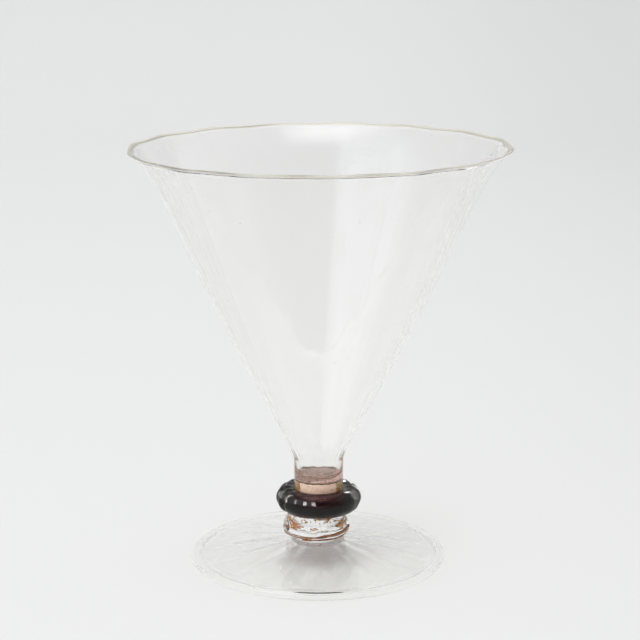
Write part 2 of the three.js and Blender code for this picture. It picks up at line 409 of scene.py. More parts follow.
def makeFoot(sizes):
    radius, height, centre = footSpace["radius"], footSpace["top"], footSpace["middle"]
    halfWidth, roll = sizes["foldWidth"] / 2, sizes["foldThickness"] / 2
    foldMiddle = radius - halfWidth
    foldEdge = foldMiddle + halfWidth * math.cos(sizes["foldTurn"])
    foldHeight = roll + roll * math.sin(sizes["foldTurn"])
    fused = {"centre": knopSpace["middle"], "finish": fusedFinish}

    def shareAt(r):
        return clamp((r - sizes["bossRadius"]) / (foldEdge - sizes["bossRadius"]))

    def top(r):
        return blend(height, foldHeight, shareAt(r))

    def row(r, h, **more):
        return {"radius": r, "height": h, "centre": centre, "soft": 0.5, **more}

    slope = steps(sizes["bossRadius"], foldEdge, sizes["coneRows"])
    rows = [row(0, height - sizes["wall"])]
    rows += [row(r, top(r) - blend(sizes["wall"], sizes["edgeWall"], shareAt(r))) for r in slope[:-3]]
    rows[0]["finish"] = rows[1]["finish"] = lipFinish    # the pontil mark
    under, slot = sizes["underLayer"] / 2, sizes["slot"] / 2
    innerEnd = radius - sizes["foldWidth"] + under
    slotEnd = radius - sizes["foldWidth"] + sizes["slotDepth"]
    slotMiddle = sizes["underLayer"] + slot
    rows += [row(r, slotMiddle + slot) for r in steps(innerEnd, slotEnd, 4)]
    rows += [row(r, h) for r, h in arc(slotEnd, slotMiddle, slot, slot, 90 * degree, -90 * degree, 6)]
    rows += [row(r, h) for r, h in arc(innerEnd, under, under, under, 90 * degree, 270 * degree, 10)]
    outer = foldMiddle + sizes["restWidth"] / 2
    curve = arc(outer, roll, halfWidth - sizes["restWidth"] / 2, roll, -90 * degree, 90 * degree, 16)
    rows += [row(r, h, soft=0.4) for r, h in curve]
    crest = arc(foldMiddle, roll, halfWidth, roll, 90 * degree, sizes["foldTurn"], 5)
    rows += [row(r, h, soft=0.4) for r, h in crest[1:-1]]
    for r in reversed(slope):
        rows.append(row(r, top(r), reach=(0, sizes["ribDepth"] * math.sin(math.pi * shareAt(r)))))
    rows += [{"radius": r, "height": height, **fused} for r in (sizes["knopBaseRadius"], 0)]
    return turnedBody("foot_glass", rows, sizes["segments"])


footGlass = blowGlass(makeFoot(foot), foot, lip=groundGlass)


# Sizes of the stem core, on which the top of the knop closes
core = {"glassRadius": 8.8, "sharpness": 1.0, "wander": 0.0, "wanderWidth": 10, "rows": 24, "segments": 160}

# Lower knop: a squashed ball of clear glass
knop = {
    "widestHeight": 3.4, "baseRadius": 8.2, "topRadius": 9.5, "undercut": 1.25, "sharpness": 1.0,
    "wander": 0.5, "wanderWidth": 7, "segments": 160, "rows": 36,
}


def knopRadiusAt(h):
    if h < knop["widestHeight"]:
        share = 1 - h / knop["widestHeight"]
        return blend(knopSpace["radius"], knop["baseRadius"], share ** knop["undercut"])
    share = (h - knop["widestHeight"]) / (knopSpace["top"] - knopSpace["base"] - knop["widestHeight"])
    return blend(knop["topRadius"], knopSpace["radius"], math.cos(share * math.pi / 2))


def makeKnop(sizes):
    base, centre = knopSpace["base"], knopSpace["middle"]
    tall = knopSpace["top"] - base
    rows = [{"radius": 0, "height": base, "centre": centre, "finish": fusedFinish}]
    for h in steps(0, tall, sizes["rows"]):
        soft = math.sin(math.pi * h / tall)
        rows.append({"radius": knopRadiusAt(h), "height": base + h, "centre": centre, "soft": soft})
    rows[1]["sharp"] = rows[-1]["sharp"] = True
    fused = {"height": base + tall, "centre": coreSpace["middle"], "finish": fusedFinish}
    rows += [{"radius": core["glassRadius"], **fused}, {"radius": 0, **fused}]
    return turnedBody("knop_glass", rows, sizes["segments"])


knopGlass = blowGlass(makeKnop(knop), knop)


# Stem core: the clear gather from the knop to the bowl, which closes round the leaf
def makeCore(sizes):
    base, top = coreSpace["base"], bowlSpace["base"]
    place = {"centre": coreSpace["middle"]}
    rows = [{"radius": 0, "height": base, "finish": fusedFinish, **place}]
    rows += [{"radius": sizes["glassRadius"], "height": h, **place} for h in steps(base, top, sizes["rows"])]
    rows[1]["sharp"] = rows[-1]["sharp"] = True
    rows[-1]["finish"] = fusedFinish
    rows += [{"radius": 0, "height": top, **place}]
    return turnedBody("core_glass", rows, sizes["segments"])


coreGlass = blowGlass(makeCore(core), core)


# Bowl: a neck with a short well, a slightly bowed cone and a flared, fire-polished lip
bowl = {
    "height": 119.5, "rimRadius": 66.65, "rimWall": 0.9, "rimWave": 0.15, "rimTilt": 0.4,
    "lipThickness": 0.75, "neckRadius": 8.8, "neckHeight": 6.7, "neckWall": 1.6, "neckBend": 1.5,
    "wellFloor": 0.9, "wellCorner": 2.4, "fadeFrom": 2.5, "wallFade": 4.5, "flareDepth": 12.8,
    "flareRadius": 57.1, "coneBow": 1.3, "ribDepth": 0.05, "rimRibDepth": 0.3, "ribStart": 5, "ribRise": 8,
    "ribGrowth": 5, "crispFade": 6, "waveGrowth": 12, "tiltGrowth": 3, "lipTurn": 200 * degree,
    "twist": 6 * degree, "sharpness": 4.0, "wander": 0.06, "wanderWidth": 45, "coneRows": 56,
    "flareRows": 14, "segments": 448,
}


def bowlRadius(h):
    flareHeight = bowl["height"] - bowl["flareDepth"]
    coneHeight = flareHeight - bowl["neckHeight"]

    def bend(rise):
        return math.hypot(max(0, rise), bowl["neckBend"]) - bowl["neckBend"]

    def straight(level):
        share = bend(level - bowl["neckHeight"]) / bend(coneHeight)
        return blend(bowl["neckRadius"], bowl["flareRadius"], share)

    bow = bowl["coneBow"] * math.sin(math.pi * clamp((h - bowl["neckHeight"]) / coneHeight)) ** 2
    flare = clamp((h - flareHeight) / (bowl["height"] - flareHeight)) ** 2
    return straight(h) + bow + (bowl["rimRadius"] - straight(bowl["height"])) * flare


def bowlWall(h):
    slope = bowlRadius(h + 0.5) - bowlRadius(h - 0.5)
    square = bowl["rimWall"] * math.hypot(1, slope)
    return blend(square, bowl["neckWall"], math.exp(-max(0, h - bowl["fadeFrom"]) / bowl["wallFade"]))


def makeBowl(sizes):
    tall, lip = sizes["height"], sizes["lipThickness"] / 2
    wellRadius = sizes["neckRadius"] - sizes["neckWall"]
    wallTop = tall - sizes["lipThickness"]
    flareHeight = tall - sizes["flareDepth"]

    def row(r, h, side, **more):    # side is 1 outside, and 0 inside, where the wall has no ribs
        share = clamp(h / tall)
        soft = clamp(h / 4) if side > 0 else clamp(r / wellRadius) * clamp((h - 2) / 4)
        fade = smooth(clamp((h - sizes["ribStart"]) / sizes["ribRise"]))
        depth = blend(sizes["ribDepth"], sizes["rimRibDepth"], share ** sizes["ribGrowth"]) * fade
        return {
            "radius": r, "height": bowlSpace["base"] + h, "centre": coreSpace["middle"] * (1 - share),
            "reach": (side * depth, sizes["rimWave"] * share ** sizes["waveGrowth"]),
            "tilt": sizes["rimTilt"] * share ** sizes["tiltGrowth"], "twist": sizes["twist"] * (1 - share),
            "soft": soft, "crisp": 1 - share ** sizes["crispFade"], **more}

    cone = [blend(sizes["neckHeight"], flareHeight, s ** 1.3) for s in steps(0, 1, sizes["coneRows"])]
    flare = steps(flareHeight, wallTop, sizes["flareRows"])[1:]
    outside = steps(0, sizes["neckHeight"], 10)[:-1] + cone + flare
    inside = cone + flare
    rows = [row(0, 0, 1, finish=fusedFinish)]
    rows += [row(bowlRadius(h), h, 1) for h in outside]
    rows[1]["sharp"] = True
    turn = sizes["lipTurn"]
    curve = arc(sizes["rimRadius"] - lip, tall - lip, lip, lip, math.pi - turn, turn, 12)
    rows += [row(r, h, 1, finish=lipFinish) for r, h in curve]
    rows += [row(bowlRadius(h) - bowlWall(h), h, 0) for h in reversed(inside)]
    corner = sizes["wellCorner"]
    neck = steps(sizes["neckHeight"], sizes["wellFloor"] + corner, 8)[1:-1]
    well = [(sizes["neckRadius"] - bowlWall(h), h) for h in neck]
    well += arc(wellRadius - corner, sizes["wellFloor"] + corner, corner, corner, 0, -90 * degree, 10)
    rows += [row(r, h, 0) for r, h in well]
    rows += [row(0, sizes["wellFloor"], 0)]
    return turnedBody("bowl_glass", rows, sizes["segments"])


bowlGlass = blowGlass(makeBowl(bowl), bowl)
print("clear glass blown")


# Ribbed ring: a thick trail of dark glass, pinched into ribs; its grooves fade out towards the bore
ring = {
    "boreRadius": 8.85, "boreAngle": 118 * degree, "sunk": 0.25, "ribCount": 18, "ribTurn": 10 * degree,
    "grooveDepth": 1.1, "pinch": 1.0, "frontTurn": 6 * degree, "frontWidth": 58 * degree, "frontFade": 0.06,
    "wornShare": 0.03, "rows": 44, "segments": 360,
}


def makePinchTree():
    tree, given = startTree("pinched ribs", {
        "Rib Count": "Float", "Rib Turn": "Float", "Pinch": "Float", "Front Turn": "Float",
        "Front Width": "Float", "Front Fade": "Float", "Worn Share": "Float", "Glass": "Material"})
    reach = addNode(tree, "GeometryNodeInputNamedAttribute", {"Name": "ribReach"}, data_type="FLOAT_VECTOR")
    angle = addNode(tree, "GeometryNodeInputNamedAttribute", {"Name": "ribAngle"}, data_type="FLOAT")
    turned = addNode(tree, "ShaderNodeMath", [angle, given["Rib Turn"]], operation="SUBTRACT")
    half = addNode(tree, "ShaderNodeMath", [given["Rib Count"], 0.5], operation="MULTIPLY")
    phase = addNode(tree, "ShaderNodeMath", [turned, half], operation="MULTIPLY")
    wave = addNode(tree, "ShaderNodeMath", [phase], operation="COSINE")
    crest = addNode(tree, "ShaderNodeMath", [wave], operation="ABSOLUTE")
    groove = addNode(tree, "ShaderNodeMath", [1.0, crest], operation="SUBTRACT")
    narrow = addNode(tree, "ShaderNodeMath", [groove, given["Pinch"]], operation="POWER")
    fromFront = addNode(tree, "ShaderNodeMath", [angle, given["Front Turn"]], operation="SUBTRACT")
    ahead = addNode(tree, "ShaderNodeMath", [fromFront], operation="COSINE")
    edge = addNode(tree, "ShaderNodeMath", [given["Front Width"]], operation="COSINE")
    past = addNode(tree, "ShaderNodeMath", [edge, ahead], operation="SUBTRACT")
    fade = addNode(tree, "ShaderNodeMath", [given["Front Fade"], -1.0], operation="MULTIPLY")
    worn = addNode(tree, "ShaderNodeMapRange", {
        "Value": past, "From Min": fade, "From Max": given["Front Fade"],
        "To Min": given["Worn Share"], "To Max": 1.0})
    amount = addNode(tree, "ShaderNodeMath", [narrow, worn], operation="MULTIPLY")
    pinch = addNode(tree, "ShaderNodeVectorMath", {0: reach, "Scale": amount}, operation="SCALE")
    moved = addNode(tree, "GeometryNodeSetPosition", {"Geometry": given["Geometry"], "Offset": pinch})
    return endTree(tree, moved, given["Glass"])


def makeRing(sizes):
    outer, base, top = ringSpace["radius"], ringSpace["base"], ringSpace["top"]
    bore = sizes["boreRadius"]
    halfHeight = (top - base) / 2
    halfWidth = (outer - bore) / (1 - math.cos(sizes["boreAngle"]))
    middleRadius, middleHeight = outer - halfWidth, (base + top) / 2
    turn = sizes["boreAngle"]
    curve = arc(middleRadius, middleHeight, halfWidth, halfHeight, -turn, turn, sizes["rows"])
    rows = []
    for r, h in curve:
        fade = clamp((r - bore) / halfWidth) * sizes["grooveDepth"] / halfWidth
        rows.append({
            "radius": r, "height": h, "centre": ringSpace["middle"],
            "reach": ((middleRadius - r) * fade, (middleHeight - h) * fade)})
    sunk = {"radius": bore - sizes["sunk"], "centre": ringSpace["middle"]}
    rows += [{"height": curve[-1][1], **sunk}, {"height": curve[0][1], **sunk}]
    return turnedBody("ring_glass", rows, sizes["segments"], closed=True)


ringGlass = runTree(makeRing(ring), makePinchTree(), {
    "Rib Count": float(ring["ribCount"]), "Rib Turn": ring["ribTurn"], "Pinch": ring["pinch"],
    "Front Turn": ring["frontTurn"], "Front Width": ring["frontWidth"], "Front Fade": ring["frontFade"],
    "Worn Share": ring["wornShare"], "Glass": darkGlass})
print("ring pinched")


# Copper trail: one wavy thread that falls from the knop's right side and laps itself
trail = {
    "start": 76 * degree, "end": -388 * degree, "fallTurn": 115 * degree, "startHeight": 4.9,
    "lapHeight": 2.55, "endHeight": 1.85, "wave": 0.12, "radius": 0.32, "sunk": 0.1, "headSwell": 1.45,
    "headEnd": -15 * degree, "headFade": 50 * degree, "swell": 1.5, "swellLength": 4, "points": 220,
}


def trailHeight(turn):
    passed = trail["start"] - turn
    level = clamp((passed - trail["fallTurn"]) / (trail["start"] - trail["end"] - trail["fallTurn"]))
    fall = (trail["startHeight"] - trail["lapHeight"]) * (1 - clamp(passed / trail["fallTurn"])) ** 1.2
    return blend(trail["lapHeight"], trail["endHeight"], level) + fall + trail["wave"] * math.sin(5 * turn)


def makeTrailTree():
    tree, given = startTree("drawn trail", {
        "Radius": "Float", "Swell": "Float", "Swell Length": "Float", "Glass": "Material"})
    share = addNode(tree, "GeometryNodeInputNamedAttribute", {"Name": "width"}, data_type="FLOAT")
    line = addNode(tree, "GeometryNodeMeshToCurve", {"Mesh": given["Geometry"]})
    fineness = addNode(tree, "ShaderNodeMath", [1.0, given["Swell Length"]], operation="DIVIDE")
    lumps = addNode(tree, "ShaderNodeTexNoise", {
        "Vector": addNode(tree, "GeometryNodeInputPosition"), "Scale": fineness, "Detail": 1.0})
    swell = addNode(tree, "ShaderNodeMapRange", {
        "Value": lumps, "From Min": 0.3, "From Max": 0.7, "To Min": 0.7, "To Max": given["Swell"]})
    broad = addNode(tree, "ShaderNodeMath", [swell, share], operation="MULTIPLY")
    width = addNode(tree, "GeometryNodeSetCurveRadius", {"Curve": line, "Radius": broad})
    section = addNode(tree, "GeometryNodeCurvePrimitiveCircle", {"Resolution": 10, "Radius": given["Radius"]})
    tube = addNode(tree, "GeometryNodeCurveToMesh", {
        "Curve": width, "Profile Curve": section, "Fill Caps": True,
        "Scale": addNode(tree, "GeometryNodeInputRadius")})
    rounded = addNode(tree, "GeometryNodeSetShadeSmooth", {"Geometry": tube})
    return endTree(tree, rounded, given["Glass"])


def makeTrail(sizes):
    points, widths = [], []
    for turn in steps(sizes["start"], sizes["end"], sizes["points"]):
        h = trailHeight(turn)
        head = smooth(clamp((turn - sizes["headEnd"]) / sizes["headFade"]))
        widths.append(blend(1, sizes["headSwell"], head))
        radius = knopRadiusAt(h) + sizes["sunk"]
        points.append(pointRound(knopSpace["middle"], radius, turn, knopSpace["base"] + h)[0])
    mesh = bpy.data.meshes.new("copper_trail")
    mesh.from_pydata([Vector(p) * mm for p in points], [(i, i + 1) for i in range(len(points) - 1)], [])
    mesh.attributes.new("width", "FLOAT", "POINT").data.foreach_set("value", widths)
    return addObject("copper_trail", mesh)


trailPiece = runTree(makeTrail(trail), makeTrailTree(), {
    "Radius": trail["radius"] * mm, "Swell": trail["swell"], "Swell Length": trail["swellLength"] * mm,
    "Glass": trailGlass})
print("trail drawn")


# Metal leaf: torn sheets, made as a grid of small cells of which a torn outline keeps some
def tornSheet(name, columns, rows, place, keep, thickness, material):
    kept = {
        (i, j) for i in range(columns) for j in range(rows)
        if keep((i + 0.5) / columns, (j + 0.5) / rows)}
    corners = [(i, j) for i in range(1, columns) for j in range(1, rows)]
    changed = True
    while changed:    # cells that touch only at a corner get a third one, so that every edge has two faces
        changed = False
        for i, j in corners:
            a, b, c, d = (i - 1, j - 1) in kept, (i, j - 1) in kept, (i - 1, j) in kept, (i, j) in kept
            if a == d and b == c and a != b:
                kept.add((i, j - 1) if a else (i, j))
                changed = True
    sides = (
        ((0, -1), (0, 0), (1, 0)), ((1, 0), (1, 0), (1, 1)),
        ((0, 1), (1, 1), (0, 1)), ((-1, 0), (0, 1), (0, 0)))
    walls = [
        ((i, j), (i + start[0], j + start[1]), (i + end[0], j + end[1]))
        for i, j in sorted(kept) for step, start, end in sides if (i + step[0], j + step[1]) not in kept]
    spots = {(i + x, j + y): Vector((i + x, j + y)) for i, j in kept for x in (0, 1) for y in (0, 1)}
    for _ in range(4):    # draws the stepped outline smooth
        pulled = {spot: [] for _, start, end in walls for spot in (start, end)}
        for _, start, end in walls:
            pulled[start].append(spots[end])
            pulled[end].append(spots[start])
        spots.update({spot: spots[spot] * 0.5 + sum(near, Vector((0, 0))) / len(near) * 0.5
                      for spot, near in pulled.items()})
    points, index, faces = [], {}, []

    def corner(spot, side):
        if (spot, side) not in index:
            place2d = spots[spot]
            point, normal = place(place2d.x / columns, place2d.y / rows)
            index[spot, side] = len(points)
            points.append(Vector(point) + Vector(normal) * side * thickness / 2)
        return index[spot, side]

    for i, j in sorted(kept):
        for side in (1, -1):
            quad = [corner(spot, side) for spot in ((i, j), (i + 1, j), (i + 1, j + 1), (i, j + 1))]
            faces.append(quad if side == 1 else quad[::-1])
    for _, start, end in walls:
        faces.append([corner(start, -1), corner(end, -1), corner(end, 1), corner(start, 1)])
    piece = addPiece(name, points, faces)
    piece.data.materials.append(material)
    return piece


leaf = {
    "cell": 0.22, "thickness": 0.12, "bandDepth": 0.45, "bandLow": 25.0, "bandHigh": 30.0,
    "discRadius": 8.2, "discMargin": 0.4, "discBack": 8.0, "discBow": 0.06, "discTeeth": 2.0, "discTear": 0.4,
    "discCrumple": 0.06, "bandCrumple": 0.08, "bandTear": 0.7, "bandMargin": 0.3, "topMargin": 0.25,
    "backDepth": 0.2, "flakeCell": 0.14, "flakeDepth": 0.12,
}


def tearAt(x, y, seed):
    coarse = noise.noise(Vector((x * 0.5, y * 0.5, seed)))
    fine = noise.noise(Vector((x * 1.6, y * 1.6, seed + 9)))
    return coarse * 0.6 + fine * 0.4


def makeLeafDisc(sizes):
    reach = sizes["discRadius"] + sizes["discMargin"]
    height = (discSpace["base"] + discSpace["top"]) / 2
    count = round(2 * reach / sizes["cell"])

    def place(u, v):
        x, y = blend(-reach, reach, u), blend(-reach, reach, v)
        crumple = sizes["discCrumple"] * noise.noise(Vector((x, y, 2.2)))
        return (discSpace["middle"] + x, y, height + crumple), (0, 0, 1)

    def keep(u, v):
        x, y = blend(-reach, reach, u), blend(-reach, reach, v)
        back = sizes["discBack"] - sizes["discBow"] * x * x + sizes["discTeeth"] * tearAt(x * 3, y * 0.3, 1.0)
        edge = sizes["discRadius"] + sizes["discTear"] * tearAt(x, y, 2.0)
        return math.hypot(x, y) < edge and y < back

    return tornSheet("leaf_disc_torn", count, count, place, keep, sizes["thickness"], discLeaf)


# The sleeve is a bright front sheet and a browner one that closes it round the back
bandArcs = {"leaf_band_torn": (-53 * degree, 49 * degree), "leaf_band_back": (47 * degree, 309 * degree)}


def makeLeafBand(name, sizes, material):
    start, end = bandArcs[name]
    inFront = name == "leaf_band_torn"
    radius = core["glassRadius"] - sizes["bandDepth"] - (0 if inFront else sizes["backDepth"])
    tall = sizes["bandHigh"] - sizes["bandLow"]
    count = round((end - start) * radius / sizes["cell"])

    def place(u, v):
        turn = blend(start, end, u)
        crumple = radius + sizes["bandCrumple"] * noise.noise(Vector((turn * 10, v * 6, 4.4)))
        return pointRound(coreSpace["middle"], crumple, turn, sizes["bandLow"] + v * tall)

    def keep(u, v):
        along, up = blend(start, end, u) * radius, v * tall
        ragged = sizes["bandTear"] * tearAt(along, up, 3.0)
        fromEnd = min(u, 1 - u) * (end - start) * radius - sizes["bandMargin"]
        fromEdge = min(up - sizes["bandMargin"], tall - sizes["topMargin"] - up + ragged)
        return fromEnd > ragged and fromEdge > 0.5 * ragged

    return tornSheet(name, count, round(tall / sizes["cell"]), place, keep, sizes["thickness"], material)


# A strip of the leaf is folded back up the neck; it widens towards the right
fold = {
    "start": -42 * degree, "end": 80 * degree, "tall": 3.0, "narrow": 0.25, "wide": 2.4, "depth": 0.25,
    "tear": 0.4, "startHeight": 0.3, "endHeight": 1.6,
}


def makeLeafFold(sizes):
    radius = bowl["neckRadius"] - sizes["depth"]
    length = (sizes["end"] - sizes["start"]) * radius

    def place(u, v):
        turn = blend(sizes["start"], sizes["end"], u)
        return pointRound(coreSpace["middle"], radius, turn, bowlSpace["base"] + v * sizes["tall"])

    def keep(u, v):
        up = v * sizes["tall"]
        ragged = sizes["tear"] * tearAt(u * length, up, 6.0)
        middle = blend(sizes["startHeight"], sizes["endHeight"], u ** 1.5)
        half = blend(sizes["narrow"], sizes["wide"], u ** 2) / 2
        return abs(up - middle) < half + ragged

    columns, rows = round(length / leaf["cell"]), round(sizes["tall"] / leaf["cell"])
    return tornSheet("leaf_fold_torn", columns, rows, place, keep, leaf["thickness"], foldLeaf)


# Flakes on the knop's shoulder, in the places of the CAD's, as torn streaks that run round it
flakes = {
    "leaf_flake_left": {"turn": -44 * degree, "height": 6.6, "width": 9.0, "tall": 2.8, "seed": 11.0},
    "leaf_flake_front": {"turn": -3 * degree, "height": 6.6, "width": 3.4, "tall": 2.0, "seed": 12.3},
    "leaf_flake_right": {"turn": 50 * degree, "height": 5.9, "width": 4.0, "tall": 2.4, "seed": 13.7},
}


def makeFlake(node, sizes):
    columns, rows = (round(sizes[side] / leaf["flakeCell"]) for side in ("width", "tall"))

    def place(u, v):
        h = sizes["height"] + (v - 0.5) * sizes["tall"]
        radius = knopRadiusAt(h) - leaf["flakeDepth"]
        turn = sizes["turn"] + (u - 0.5) * sizes["width"] / radius
        return pointRound(knopSpace["middle"], radius, turn, knopSpace["base"] + h)

    def keep(u, v):
        x, y = (u - 0.5) * 2, (v - 0.5) * 2
        streaks = noise.noise(Vector((u * sizes["width"] * 0.3, v * sizes["tall"] * 2.2 + x, sizes["seed"])))
        return x * x + y * y < 0.8 + 0.6 * streaks and streaks > -0.06

    return tornSheet(node + "_torn", columns, rows, place, keep, leaf["thickness"], flakeLeaf)


leafDisc = makeLeafDisc(leaf)
leafBand = makeLeafBand("leaf_band_torn", leaf, bandLeaf)
leafBack = makeLeafBand("leaf_band_back", leaf, wedgeLeaf)
leafFold = makeLeafFold(fold)
flakePieces = {node: makeFlake(node, sizes) for node, sizes in flakes.items()}
print("leaf laid")


# Crumbs of leaf scattered under the ring, just below the knop's skin, and a few seeds, the small bubbles
# that stay in blown glass, in the middle of the bowl's wall. Density is per square metre
crumb = {"density": 1.2e6, "size": 0.34, "depth": -0.15, "lowest": 7.9, "seed": 4}
bubble = {"density": 1800.0, "size": 0.2, "depth": -0.45, "lowest": 15, "seed": 7}


def makeCrumbTree():
    tree, given = startTree("leaf crumbs", {
        "Density": "Float", "Crumb Size": "Float", "Depth": "Float", "Lowest": "Float", "Seed": "Int",
        "Leaf": "Material"})
    height = addNode(tree, "ShaderNodeSeparateXYZ", [addNode(tree, "GeometryNodeInputPosition")])
    high = addNode(tree, "FunctionNodeCompare", {
        0: height.outputs["Z"], 1: given["Lowest"]}, data_type="FLOAT", operation="GREATER_THAN")
    skin = facesWith(tree, skinFinish)
    chosen = addNode(tree, "FunctionNodeBooleanMath", [high, skin], operation="AND")
    spread = addNode(tree, "GeometryNodeDistributePointsOnFaces", {
        "Mesh": given["Geometry"], "Selection": chosen, "Density": given["Density"], "Seed": given["Seed"]})
    sink = addNode(tree, "ShaderNodeVectorMath", {
        0: spread.outputs["Normal"], "Scale": given["Depth"]}, operation="SCALE")
    sunk = addNode(tree, "GeometryNodeSetPosition", {"Geometry": spread, "Offset": sink})
    ball = addNode(tree, "GeometryNodeMeshIcoSphere", {"Radius": given["Crumb Size"], "Subdivisions": 1})
    size = addNode(tree, "FunctionNodeRandomValue", {
        0: (0.6, 0.4, 0.2), 1: (2.4, 1.2, 0.35), "Seed": given["Seed"]}, data_type="FLOAT_VECTOR")
    placed = addNode(tree, "GeometryNodeInstanceOnPoints", {
        "Points": sunk, "Instance": ball, "Rotation": spread.outputs["Rotation"], "Scale": size})
    return endTree(tree, placed, given["Leaf"])


def scatter(name, glass, base, sizes, material):
    return runTree(addObject(name, glass.data.copy()), makeCrumbTree(), {
        "Density": sizes["density"], "Crumb Size": sizes["size"] * mm, "Depth": sizes["depth"] * mm,
        "Lowest": (base + sizes["lowest"]) * mm, "Seed": sizes["seed"], "Leaf": material})


crumbs = scatter("leaf_crumbs", knopGlass, knopSpace["base"], crumb, crumbLeaf)
seeds = scatter("bowl_seeds", bowlGlass, bowlSpace["base"], bubble, clearGlass)
print("crumbs scattered")


# Each piece stands for its CAD node and is listed with that node's finish; it hangs on the root body, and its
# CAD node is hidden
standsFor = [
    (footGlass, "foot", "clear_glass"),
    (knopGlass, "lower_knop", "clear_glass"),
    (coreGlass, "stem_core", "clear_glass"),
    (bowlGlass, "bowl", "clear_glass"),
    (ringGlass, "ribbed_ring", "dark_glass"),
    (trailPiece, "copper_thread", "copper_trail"),
    (leafDisc, "leaf_disc", "metal_leaf"),
    (leafBand, "leaf_band", "metal_leaf"),
    *((piece, node, "metal_leaf") for node, piece in flakePieces.items()),
    (leafBack, None, "metal_leaf"),
    (leafFold, None, "metal_leaf"),
    (crumbs, None, "metal_leaf"),
    (seeds, None, "clear_glass"),
]
for piece, node, finish in standsFor:
    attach(piece, "root")
    if node:
        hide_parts(node)
print("pieces fitted to the frame")


# Studio: a pale paper sweep in a room that is pale all round but dim behind the camera, in metres
studio = {
    "floorFront": -2.2, "floorBack": 1.1, "bend": 0.8, "wallTop": 2.4, "halfWidth": 2.4,
    # painted shade: the paper's own colour turns a darker grey towards the right, for less light falling
    # there
    "paper": "#e4e4e3", "paintedShadePaper": "#dcdcdb", "paintedShadeTo": 0.35,
    "paleRoom": "#e4e4e4", "dimRoom": "#888888", "upperRoom": "#949494",
    "dimFront": ("Y", 0.15, -0.8), "dimAbove": ("Z", 0.03, 0.2), "upperAbove": ("Z", 0.45, 0.7),
}

softbox = {"place": (-0.22, -0.2, 2.2), "width": 1.25, "depth": 1.6, "radiance": 0.4}
patch = {"radiance": 2.7, "edge": 0.4}    # the softbox as it is painted in the room

# Windows and glints lie by their direction from the goblet, in degrees left of the camera and up
sky = {
    "windows": (34, 68), "up": 36, "width": 4, "tall": 40, "edge": 28.0, "edgeUp": 9.0,
    "colour": "#f6f8ff", "radiance": 1.65, "bright": 1.5, "brightFrom": 44, "brightTo": 52,
}
glints = {
    "glint left": {"low": (68, 18), "high": (82, 45), "width": 4.5, "radiance": 21},
    "glint middle": {"low": (38, 17), "high": (46, 47), "width": 4.5, "radiance": 21},
    "glint right": {"low": (12, 19), "high": (16, 52), "width": 9.5, "radiance": 19},
    "glint left side": {"low": (92, 2), "high": (135, 50), "width": 5, "radiance": 26},
    "glint right side": {"low": (-118, 2), "high": (-160, 38), "width": 5, "radiance": 32},
}
glintDistance = 2.2
fill = {"place": (-0.9, -2.0, 1.1), "width": 2.4, "height": 1.4, "radiance": 1.7}


def makeSweep(sizes):
    material, tree = newMaterial("pale paper sweep")
    place = addNode(tree, "ShaderNodeTexCoord").outputs["Object"]
    # the paper's grain is about 1 mm wide
    grain = addNode(tree, "ShaderNodeTexNoise", {"Vector": place, "Scale": 900.0, "Detail": 2.0})
    bump = addNode(tree, "ShaderNodeBump", {"Height": grain, "Strength": 0.05, "Distance": 0.1 * mm})
    # Painted shade: towards the right the paper's colour is mixed to a darker grey, standing in for less
    # light there
    across = addNode(tree, "ShaderNodeSeparateXYZ", [place])
    right = addNode(tree, "ShaderNodeMapRange", {
        "Value": across.outputs["X"], "From Min": 0.0, "From Max": sizes["paintedShadeTo"],
    }, interpolation_type="SMOOTHSTEP")
    shade = addNode(tree, "ShaderNodeMix", {
        0: right, 6: toLinear(sizes["paper"]), 7: toLinear(sizes["paintedShadePaper"])}, data_type="RGBA")
    paper = addNode(tree, "ShaderNodeBsdfPrincipled", {
        "Base Color": shade.outputs[2], "Roughness": 0.9, "Specular IOR Level": 0.0, "Normal": bump})
    addNode(tree, "ShaderNodeOutputMaterial", {"Surface": paper})
    bend, back = sizes["bend"], sizes["floorBack"]
    line = [(sizes["floorFront"], 0)]
    line += [(back + bend * math.sin(a), bend - bend * math.cos(a)) for a in steps(0, math.pi / 2, 24)]
    line += [(back + bend, sizes["wallTop"])]
    points = [(x / mm, y / mm, z / mm) for y, z in line for x in (-sizes["halfWidth"], sizes["halfWidth"])]
    faces = [(2 * i, 2 * i + 1, 2 * i + 3, 2 * i + 2) for i in range(len(line) - 1)]
    sweep = addPiece("paper_sweep", points, faces)
    sweep.data.materials.append(material)


def addLamp(name, place, tallWay, width, height, radiance):
    data = bpy.data.lights.new(name, "AREA")
    data.shape = "RECTANGLE"
    data.size, data.size_y = width, height
    data.energy = radiance * math.pi * width * height
    back = Vector(place).normalized()
    side = Vector(tallWay).cross(back).normalized()
    lamp = addObject(name, data)
    lamp.location = place
    lamp.rotation_euler = Matrix((side, back.cross(side), back)).transposed().to_euler()
    return lamp


def wayTo(left, up):
    return Vector((-math.sin(left) * math.cos(up), -math.cos(left) * math.cos(up), math.sin(up)))


# 1 near the middle, fading to 0 between the two distances from it
def addBand(tree, value, middle, inner, outer):
    off = addNode(tree, "ShaderNodeMath", [value, middle], operation="SUBTRACT")
    away = addNode(tree, "ShaderNodeMath", [off], operation="ABSOLUTE")
    return addNode(tree, "ShaderNodeMapRange", {
        "Value": away, "From Min": outer, "From Max": inner}, interpolation_type="SMOOTHSTEP")


